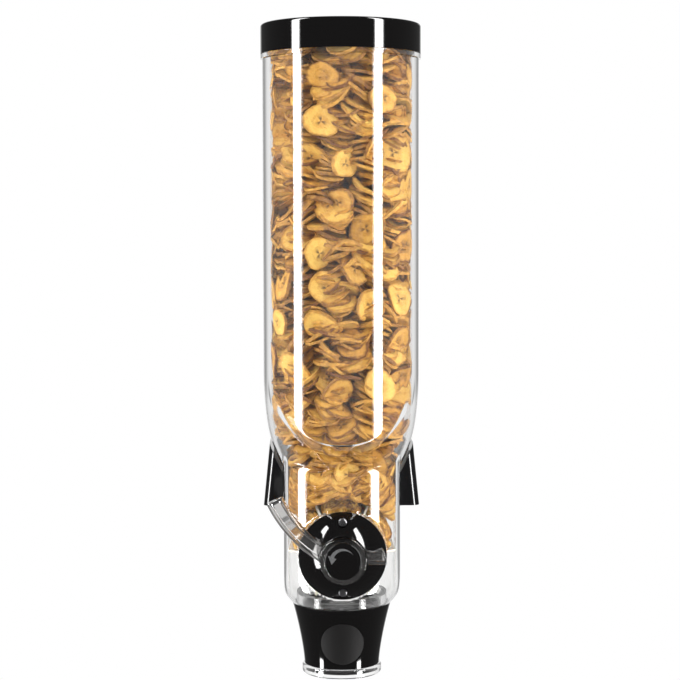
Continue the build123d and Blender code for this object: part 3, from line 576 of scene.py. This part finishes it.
# %% Arm
tip, root, bend = np.array([-63.3, 57.1]), np.array([-12.0, 3.5]), 115.0
arm_back, root_reach = lever_back - 0.7, hub_reach - 0.1
chord = tip - root
length = np.linalg.norm(chord)
rise = math.sqrt(bend ** 2 - (length / 2) ** 2)
bend_centre = (tip + root) / 2 + np.array([chord[1], -chord[0]]) / length * rise
tip_turn = math.atan2(tip[1] - bend_centre[1], tip[0] - bend_centre[0])
share = np.concatenate([np.linspace(0, 0.93, 40), [0.945, 0.955, 0.965, 0.985, 0.994, 1.0]])
floor_rise = np.concatenate([np.zeros(40), [0.12, 0.6, 1, 1, 1, 1]])
shrink = np.concatenate([np.zeros(43), [0, 0.35, 1.0]])
across_arm, front_arm = channel(np.full(len(share), 8.1), floor_rise, shrink)
line_radius = bend + across_arm
centre_far = np.hypot(*bend_centre)
to_axis = math.atan2(-bend_centre[1], -bend_centre[0])
crossing = (line_radius ** 2 + centre_far ** 2 - root_reach ** 2) / (2 * line_radius * centre_far)
way = math.copysign(1.0, (tip_turn - to_axis + np.pi) % (2 * np.pi) - np.pi)
turn_at = (to_axis + way * np.arccos(crossing.clip(-1, 1))) * (1 - share[:, None]) + tip_turn * share[:, None]
arm_rings = np.stack([bend_centre[0] + line_radius * np.cos(turn_at), arm_back - front_arm,
                      nose_axis_z + bend_centre[1] + line_radius * np.sin(turn_at)], -1)
arm_points, arm_faces = swept(arm_rings)
print("the arm turns about", bend_centre.round(1))

# %% [markdown]
# ## The lever's tail
# The tail is straight and short. Its upper edge dips behind the hub and flares before its end, as a thumb rest does,
# and its lower edge is level.

# %% Tail
tail_root, tail_tip, tail_low = 20.5, 40.3, 3.2
along_tail = np.concatenate([np.linspace(0, 0.80, 14), [0.84, 0.88, 0.95, 0.985, 1.0]])
tail_x = tail_root + (tail_tip - tail_root) * along_tail
top_z = np.interp(tail_x, [tail_root, 28.3, 36.6, 38.5, tail_tip], [10.5, 8.4, 12.0, 8.0, 3.0])
tail_rise = np.concatenate([np.zeros(14), [0.5, 1, 1, 1, 1]])
tail_shrink = np.concatenate([np.zeros(17), [0.3, 0.9]])
across_tail, front_tail = channel((top_z + tail_low) / 2, tail_rise, tail_shrink, ridge=3.4)
tail_z = (top_z - tail_low)[:, None] / 2 + across_tail
start_x = np.sqrt(root_reach ** 2 - tail_z ** 2)
tail_rings = np.stack([start_x + (tail_x[:, None] - tail_root) * (tail_tip - start_x) / (tail_tip - tail_root),
                       arm_back - front_tail, nose_axis_z + tail_z], -1)
tail_points, tail_faces = swept(tail_rings, len(arm_points))
print("the tail ends", tail_tip, "mm from the shaft")

# %% [markdown]
# ## The lever's hub
# The hub is a dish: a high rounded rim round a lower floor, in which the black cap lies. Its outline, with every
# corner rounded by a short curve, is turned about the shaft.

# %% Hub and the finished lever
def softened(corners, rounds, steps=5):
    """A closed outline whose corners are rounded: each is the curve start (1-t)^2 + corner 2t(1-t) + end t^2."""
    corners = np.asarray(corners, float)
    out = []
    for k, size in enumerate(rounds):
        here, back, ahead = corners[k], corners[k - 1], corners[(k + 1) % len(corners)]
        if size == 0:
            out.append(here[None])
            continue
        start = here + (back - here) * size / np.linalg.norm(back - here)
        end = here + (ahead - here) * size / np.linalg.norm(ahead - here)
        t = np.linspace(0, 1, steps)[:, None]
        out.append(start * (1 - t) ** 2 + here * 2 * t * (1 - t) + end * t ** 2)
    return np.concatenate(out)


hub_outline = softened([(6.3, 0.0), (hub_reach, 0.0), (hub_reach, 8.7), (17.3, 8.7), (17.3, 4.0), (6.3, 4.0)],
                       [0, 0.5, 1.9, 1.1, 0.6, 0])
turns = np.linspace(0, 2 * np.pi, 96, endpoint=False)[:, None]
hub_r, hub_f = hub_outline[:, 0][None], hub_outline[:, 1][None]
hub_rings = np.stack([hub_r * np.cos(turns), lever_back - hub_f + 0 * turns, nose_axis_z + hub_r * np.sin(turns)], -1)
hub_faces = net_faces(len(turns), len(hub_outline), len(arm_points) + len(tail_points), wrap_rows=True,
                      wrap_columns=True)
lever_points = np.concatenate([arm_points, tail_points, hub_rings.reshape(-1, 3)])
lever_faces = [block for part in (arm_faces, tail_faces, [hub_faces]) for block in outwards(lever_points, part)]
smoky_lever = piece("smoky_lever", lever_points, lever_faces, "wheel", sharp_degrees=42)
smoky_lever.data.materials.append(smoky_plastic)
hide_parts("lever")

# %% [markdown]
# ## Dried banana slices
# A slice is a thin, slightly warped, not quite round disc with a browner rim and dark seeds in its middle. All slices
# share one small net of 34 points. Their flat coordinates go into a UV map, so that the seeds stay on the slice, and
# one number per slice makes some paler and some more toasted. All of them are one array: slice, point, coordinate.

# %% Shapes of many slices
slice_sides = 16
around_slice = np.arange(slice_sides) * 2 * np.pi / slice_sides


def slice_points(count, dice):
    """Rims and middles of many slices: the radius varies in 2, 3 and 5 waves, the height in a saddle and a cup."""
    radius = dice.normal(15.6, 1.7, (count, 1)).clip(11.0, 18.5)
    a = around_slice[None]
    wave = 1.0
    for waves, height in ((2, 0.10), (3, 0.045), (5, 0.03)):
        wave = wave + height * np.cos(waves * a + dice.uniform(0, 6.28, (count, 1)))
    x, y = radius * wave * np.cos(a), radius * wave * np.sin(a)
    half = dice.normal(1.6, 0.25, (count, 1)).clip(1.1, 2.2)
    saddle = dice.normal(0, 1.9, (count, 1)) * np.cos(2 * a + dice.uniform(0, 6.28, (count, 1)))
    cup = dice.normal(0, 1.6, (count, 1))
    rim = saddle + cup
    zero = np.zeros((count, 1))
    rims = [np.stack([x, y, rim + up * half * 0.8], -1) for up in (1, -1)]
    middles = [np.stack([zero, zero, up * half], -1) for up in (1, -1)]
    return np.concatenate(rims + middles, 1)


k = np.arange(slice_sides)
after_k = (k + 1) % slice_sides
top_middle, low_middle = np.full(slice_sides, 2 * slice_sides), np.full(slice_sides, 2 * slice_sides + 1)
slice_fans = np.concatenate([np.stack([k, after_k, top_middle], -1),
                             np.stack([after_k + slice_sides, k + slice_sides, low_middle], -1)])
slice_rim = np.stack([k + slice_sides, after_k + slice_sides, after_k, k], -1)
slice_uv = np.concatenate([np.stack([np.cos(around_slice), np.sin(around_slice)], -1)] * 2 + [np.zeros((2, 2))])
per_slice = 2 * slice_sides + 2
print("faces in a slice", len(slice_fans) + len(slice_rim))


# %% Turn slices and join them
def turned_slices(flat, normal, spin):
    """The slices turned so that each one's face looks along its normal, after a spin about it."""
    n = normal / np.linalg.norm(normal, axis=1, keepdims=True)
    helper = np.where(np.abs(n[:, 2:3]) < 0.9, [[0.0, 0.0, 1.0]], [[1.0, 0.0, 0.0]])
    u = np.cross(helper, n)
    u /= np.linalg.norm(u, axis=1, keepdims=True)
    v = np.cross(n, u)
    cs, sn = np.cos(spin)[:, None], np.sin(spin)[:, None]
    u, v = u * cs + v * sn, v * cs - u * sn
    return np.einsum("nki,nij->nkj", flat, np.stack([u, v, n], 1))


def slices_piece(name, placed, dice, body):
    """One object from the placed slices, with their UV map and their shade."""
    count = len(placed)
    shift = (np.arange(count) * per_slice)[:, None, None]
    faces = [(slice_fans[None] + shift).reshape(-1, 3), (slice_rim[None] + shift).reshape(-1, 4)]
    made = piece(name, placed.reshape(-1, 3), faces, body, sharp_degrees=38)
    mesh = made.data
    vertex = np.zeros(len(mesh.loops), int)
    mesh.loops.foreach_get("vertex_index", vertex)
    layer = mesh.uv_layers.new(name="slice_flat")
    layer.data.foreach_set("uv", (slice_uv[vertex % per_slice] * 0.5 + 0.5).astype(np.float32).ravel())
    shade = mesh.attributes.new("toasted", "FLOAT", "POINT")
    shade.data.foreach_set("value", np.repeat(dice.beta(2, 2.4, count), per_slice).astype(np.float32))
    mesh.materials.append(dried_banana)


upwards = np.array([[0, 0, 1.0]])
print("a level slice looks along", turned_slices(upwards[None], upwards, np.zeros(1))[0, 0])

# %% [markdown]
# ## The finish of a slice
# The flesh is straw yellow, darker in its core and at the rim where it fried. Three short rows of dark seeds run out
# from the middle. Seeds, core and rim are drawn by distance and direction on the slice's own flat UV map, and noise
# makes their borders uneven. The same values lift and lower the surface a little, so that the lamp catches its skin.

# %% Dried banana
dried_banana, fruit, banana = finish_for("dried_banana", (0.6, 0.36, 0.12), 0.5, 0.7, scale=120, IOR=1.45,
                                         Specular_IOR_Level=0.22)
uv = put(fruit, "ShaderNodeUVMap", uv_map="slice_flat")
spot = put(fruit, "ShaderNodeSeparateXYZ", Vector=uv.outputs["UV"])
flat_x = work(fruit, "MULTIPLY_ADD", spot.outputs["X"], 2.0, -1.0)
flat_y = work(fruit, "MULTIPLY_ADD", spot.outputs["Y"], 2.0, -1.0)
squares = plus(fruit, times(fruit, flat_x, flat_x), times(fruit, flat_y, flat_y))
from_middle = work(fruit, "SQRT", squares)
direction = work(fruit, "ARCTAN2", flat_y, flat_x)
object_place = fruit.nodes.new("ShaderNodeTexCoord").outputs["Object"]
flesh = put(fruit, "ShaderNodeTexNoise", Vector=object_place, Scale=190.0, Detail=4.0, Roughness=0.65).outputs[0]
speck = put(fruit, "ShaderNodeTexNoise", Vector=object_place, Scale=900.0, Detail=2.0).outputs[0]
toasted = put(fruit, "ShaderNodeAttribute", attribute_name="toasted")
three_rays = work(fruit, "ABSOLUTE", work(fruit, "COSINE", times(fruit, direction, 1.5)))
seed_line = ramp(fruit, plus(fruit, three_rays, times(fruit, speck, 0.35)), 0.88, 1.08)
seed_reach = ramp(fruit, from_middle, 0.40, 0.12)
seeds = times(fruit, times(fruit, seed_reach, seed_line), 0.85, clamp=True)
uneven = plus(fruit, from_middle, work(fruit, "MULTIPLY_ADD", flesh, 0.22, -0.11))
core, fried = ramp(fruit, uneven, 0.52, 0.38), ramp(fruit, uneven, 0.80, 1.0)
print("seeds, core and rim are", len(fruit.nodes), "nodes")

# %% Its colours and its skin
tone = fruit.nodes.new("ShaderNodeValToRGB")
tone.color_ramp.elements.new(0.5)
tones = ((0.79, 0.525, 0.120, 1), (0.59, 0.300, 0.046, 1), (0.155, 0.052, 0.009, 1))
for step, colour in zip(tone.color_ramp.elements, tones):
    step.color = colour
darker = plus(fruit, times(fruit, toasted.outputs["Fac"], 0.62), work(fruit, "MULTIPLY_ADD", flesh, 0.8, -0.35))
darker = plus(fruit, darker, times(fruit, fried, 0.42))
darker = plus(fruit, darker, times(fruit, core, 0.14), clamp=True)
fruit.links.new(darker, tone.inputs["Fac"])
with_seeds = put(fruit, "ShaderNodeMix", data_type="RGBA", Factor=seeds, i6=tone.outputs["Color"],
                 i7=(0.085, 0.035, 0.012, 1))
fruit.links.new(with_seeds.outputs[2], banana.inputs["Base Color"])
lift = plus(fruit, times(fruit, flesh, 0.9), times(fruit, core, -0.25))
lift = work(fruit, "SUBTRACT", lift, times(fruit, seeds, 0.5))
skin = put(fruit, "ShaderNodeBump", Height=lift, Strength=1.0, Distance=0.002)
fruit.links.new(skin.outputs["Normal"], banana.inputs["Normal"])
print("nodes in the slice's finish", len(fruit.nodes))

# %% [markdown]
# ## Room for a slice
# Poured slices lie nearly flat in small leaning stacks, and now and then one stands flat against the wall and shows
# its face. A physics drop of more than a thousand slices would take minutes at every render, and only the outer ones
# are seen, so they are placed by rule. The same distance that made the hopper's inner wall tells how far a slice's
# points stand out, and the slice is pushed towards the axis by the most of them.

# %% Keep slices off the wall and the wheel
dice = np.random.default_rng(11)
wheel_reach, top_of_food, highest_slice = 50.6, 597.0, 618.5
off_wall, slack = 0.5, 0.2
slice_stand, slice_cover, behind_standing = 68.0, 16.5, 5.2


def wall_room(points, standing=None):
    """How far each point stands beyond the inner wall, less a little room, and less more behind a standing slice."""
    angle = np.arctan2(points[..., 1], points[..., 0])
    room = hopper_distance(angle, points[..., 2].clip(69.5, 619), True) - off_wall
    if standing is not None:
        turn_by = np.abs((angle[..., None] - standing[:, 0] + np.pi) % (2 * np.pi) - np.pi) * slice_stand
        covered = (turn_by ** 2 + (points[..., 2, None] - standing[:, 1]) ** 2) < slice_cover ** 2
        room = room - behind_standing * covered.any(-1)
    return np.hypot(points[..., 0], points[..., 1]) - room


def inside_wall(points):
    """Whether a slice has all its points off the wall, but for a small slack."""
    return wall_room(points).max(1) < slack


def push_in(points, standing=None, rounds=4):
    """Slices moved towards the axis by the most that any of their points stands out, a few times over."""
    for _ in range(rounds):
        over = wall_room(points, standing).max(1).clip(0)
        centre = points.mean(1)
        inward = -centre[:, :2] / np.maximum(np.hypot(centre[:, 0], centre[:, 1]), 1e-3)[:, None]
        points = points.copy()
        points[:, :, :2] += (inward * over[:, None])[:, None]
    return points


def settled(points, standing=None):
    """Slices pushed off the wall, lifted out of the wheel's sweep and pushed again, and how far each was lifted."""
    points = push_in(points, standing)
    sweep = np.sqrt(np.maximum(wheel_reach ** 2 - points[..., 0] ** 2, 0)) + nose_axis_z
    lifted = (sweep - points[..., 2]).max(1).clip(0)
    points[:, :, 2] += lifted[:, None]
    return push_in(points, standing), lifted


print("room left for a point 60 mm from the axis:", -wall_room(np.array([60.0, 0.0, 400.0])).round(1), "mm")

# %% [markdown]
# ## Filling the hopper
# Standing slices come first, each one clear of those before it, on most of the wall. Then columns of leaning stacks
# stand all round, in an outer and an inner ring, and keep behind the standing slices. Small slices fill the neck over
# the wheel. A slice that still crosses the wall after it was pushed in is left out.

# %% Standing slices
def standing_slices(count):
    """Slices that stand against the wall, spread evenly: each new one keeps clear of the ones before it."""
    spots = []
    for angle, z in zip(dice.uniform(-np.pi, np.pi, 4000), dice.uniform(186, top_of_food - 20, 4000)):
        if all(((abs((angle - a + np.pi) % (2 * np.pi) - np.pi) * slice_stand) ** 2 + (z - h) ** 2)
               > (2 * slice_cover) ** 2 for a, h in spots):
            spots.append((angle, z))
        if len(spots) == count:
            break
    spots = np.array(spots)
    flat = slice_points(len(spots), dice)
    lean = dice.normal(0, 0.42, (len(spots), 2))
    normal = np.stack([np.cos(spots[:, 0] + lean[:, 0]), np.sin(spots[:, 0] + lean[:, 0]), lean[:, 1] + 0.05], -1)
    placed = turned_slices(flat, normal, dice.uniform(0, 6.28, len(spots)))
    foot = [slice_stand * np.cos(spots[:, 0]), slice_stand * np.sin(spots[:, 0]), spots[:, 1]]
    return push_in(placed + np.stack(foot, -1)[:, None]), spots


upright, spots = standing_slices(170)
upright = upright[inside_wall(upright)]
print("slices that stand", len(upright))

# %% Leaning stacks
stacks_whole_above, kept_below = 232, 0.55


def leaning_stacks(columns, step, reach, standing):
    """Columns of nearly level slices: every few slices the lean changes, and each differs a little from the last."""
    centres, normals = [], []
    for column in range(columns):
        z = 128.0 + dice.uniform(0, step)
        turn_to = column * 2 * np.pi / columns
        while z < top_of_food:
            lean = dice.normal(0, 0.42, 2) + 0.34 * np.array([math.cos(turn_to), math.sin(turn_to)])
            aside, in_stack = dice.normal(0, 0.14), dice.integers(1, 6)
            for _ in range(in_stack):
                angle = turn_to + aside + dice.normal(0, 0.05)
                centres.append((reach * np.cos(angle), reach * np.sin(angle), z))
                normals.append((*(lean + dice.normal(0, 0.17, 2)), 1.0))
                z += step * dice.uniform(0.8, 1.2)
    centres, normals = np.array(centres), np.array(normals)
    flat = slice_points(len(centres), dice)
    placed = turned_slices(flat, normals, dice.uniform(0, 6.28, len(centres))) + centres[:, None]
    placed, lifted = settled(placed, standing)
    keep = (lifted < 9.0) & (placed[:, :, 2].max(1) < highest_slice) & inside_wall(placed)
    keep &= (placed[:, :, 2].mean(1) > stacks_whole_above) | (dice.random(len(placed)) < kept_below)
    return placed[keep]


stacks = leaning_stacks(11, 4.3, 59.0, spots)
inner_stacks = leaning_stacks(7, 4.6, 36.0, spots)
print("slices in stacks", len(stacks), "and inside them", len(inner_stacks))

# %% Small slices over the wheel
def chips_on_wheel(count):
    """Smaller slices that lie just above the wheel's sweep, most of them near the neck's walls."""
    x = dice.uniform(-49, 49, count)
    y = dice.choice([-1.0, -1.0, 1.0], count) * dice.uniform(12, 50, count)
    z = np.sqrt(wheel_reach ** 2 - x ** 2) + nose_axis_z + dice.uniform(3, 30, count)
    flat = slice_points(count, dice)
    flat *= dice.uniform(0.75, 1.05, (count, 1, 1))
    normals = np.stack([dice.normal(0, 0.5, count), np.sign(y) + dice.normal(0, 0.6, count), np.ones(count)], -1)
    placed = turned_slices(flat, normals, dice.uniform(0, 6.28, count)) + np.stack([x, y, z], -1)[:, None]
    placed, lifted = settled(placed)
    return placed[(lifted < 16.0) & inside_wall(placed)]


on_wheel = chips_on_wheel(260)
for name, placed in (("slices_upright", upright), ("slices_in_stacks", stacks), ("slices_inside", inner_stacks),
                     ("chips_on_wheel", on_wheel)):
    slices_piece(name, placed, dice, "hopper")

# %% [markdown]
# ## Slices in the wheel's pockets
# The wheel's upper pockets are full as well. These slices ride on the wheel, because they turn with it. Some lie in
# layers on each pocket's lower vane, and smaller ones stand with their faces to the neck's front and back wall, where
# they are seen. All stay in the room that the vanes sweep, so that they don't cut the hopper when the wheel turns.
# Only the smaller ones are tested against the vanes and the hub as well.

# %% Room in a pocket
pocket_degrees, pocket_reach, pocket_hub = 60, 50.3, 13.4
sweep_radius, sweep_inset, sweep_slack = 65.0, 13.3, 0.3


def in_a_pocket(points):
    """Whether every point of a slice is inside the vanes' sweep and clear of every vane's plane and of the hub."""
    x, z = points[..., 0], points[..., 2] - nose_axis_z
    inside = (np.hypot(x, z).max(1) < pocket_reach) & (np.hypot(x, z).min(1) > pocket_hub) & (z > 0).all(1)
    for vane in np.radians(np.arange(0, 360, pocket_degrees)):
        ahead, beside = x * np.cos(vane) + z * np.sin(vane), z * np.cos(vane) - x * np.sin(vane)
        inside &= np.where(ahead > 0, np.abs(beside), 99.0).min(1) > 1.3
        inside &= (beside > 0).all(1) | (beside <= 0).all(1) | (ahead < 0).all(1)
    return inside


def within_sweep(points):
    """Slices moved along the shaft into the room that the turning vanes keep: |y| < sqrt(65^2 - r^2) - 13.3."""
    reach = np.hypot(points[..., 0], points[..., 2] - nose_axis_z).clip(0, 60)
    room = np.sqrt(sweep_radius ** 2 - reach ** 2) - sweep_inset
    over = (np.abs(points[..., 1]) - (room - sweep_slack)).max(1).clip(0)
    points = points.copy()
    points[..., 1] -= (np.sign(points[..., 1].mean(1)) * over)[:, None]
    return points, (np.abs(points[..., 1]) - room).max(1) < 0


print("vanes every", pocket_degrees, "degrees")

# %% Layers on the vanes
centres, normals, sizes = [], [], []
for pocket in range(3):
    start = math.radians(pocket * pocket_degrees)
    cs, sn = math.cos(start), math.sin(start)
    for layer in range(7):
        height = 3.0 + 3.3 * layer
        near_edge = max(14.5, height / math.tan(math.radians(pocket_degrees)) + 2.5)
        far_edge = math.sqrt(49.0 ** 2 - height ** 2)
        along_vane = (near_edge + far_edge) / 2
        for depth in (-33.0, -4.0, 25.0):
            centres.append((cs * along_vane - sn * height, depth + dice.uniform(-2, 2),
                            nose_axis_z + sn * along_vane + cs * height))
            normals.append((-sn + dice.normal(0, 0.03), dice.normal(0, 0.05), cs + dice.normal(0, 0.03)))
            sizes.append(min((far_edge - near_edge) / 2, 15.5) / 17.4)
flat = slice_points(len(centres), dice)
flat *= np.array(sizes)[:, None, None] * np.array([1, 1, 0.9])
layered = turned_slices(flat, np.array(normals), dice.uniform(0, 6.28, len(flat))) + np.array(centres)[:, None]
layered = layered[np.hypot(layered[..., 0], layered[..., 2] - nose_axis_z).max(1) < pocket_reach]
layered, fits = within_sweep(layered)
layered = layered[fits]
print("slices in layers", len(layered))

# %% Faces against the neck
tries, kept_faces = 3200, 330
reach_in = dice.uniform(17, 48, tries)
pocket_turn = np.radians(pocket_degrees * dice.integers(0, 3, tries) + dice.uniform(6, 54, tries))
side = dice.choice([-1.0, -1.0, 1.0], tries)
depth_in = side * dice.uniform(26, 55, tries)
flat = slice_points(tries, dice) * dice.uniform(0.25, 0.85, (tries, 1, 1))
normals = np.stack([dice.normal(0, 0.35, tries), side, dice.normal(0.15, 0.35, tries)], -1)
centres = np.stack([reach_in * np.cos(pocket_turn), depth_in, nose_axis_z + reach_in * np.sin(pocket_turn)], -1)
faced, fits = within_sweep(turned_slices(flat, normals, dice.uniform(0, 6.28, tries)) + centres[:, None])
faced = faced[in_a_pocket(faced) & fits]
print("faces against the neck", len(faced), "of which", kept_faces, "are used")
slices_piece("slices_in_wheel", np.concatenate([layered, faced[:kept_faces]]), dice, "wheel")

# %% [markdown]
# ## A pale floor
# The floor is far below, because the dispenser hangs on a wall. It is white to the camera and pale to everything else,
# and reflections don't see it, so that the black plastic stays black.

# %% Floor
floor_half, floor_z = 5, -2.2
floor_mesh = bpy.data.meshes.new("studio_floor")
floor_mesh.from_pydata([(x * floor_half, y * floor_half, floor_z) for x, y in ((-1, -1), (1, -1), (1, 1), (-1, 1))],
                       [], [(0, 1, 2, 3)])
studio_floor = object_with("studio_floor", floor_mesh)
floor_paint, floor_tree, floor_shader = finish_for("floor_paint", (0.82, 0.82, 0.82), 0.7, 0.9, scale=3)
floor_shader.inputs["Emission Color"].default_value = (1, 1, 1, 1)
floor_rays = floor_tree.nodes.new("ShaderNodeLightPath")
floor_tree.links.new(floor_rays.outputs["Is Camera Ray"], floor_shader.inputs["Emission Strength"])
studio_floor.data.materials.append(floor_paint)
studio_floor.visible_glossy = False
print("floor at", floor_z, "m")
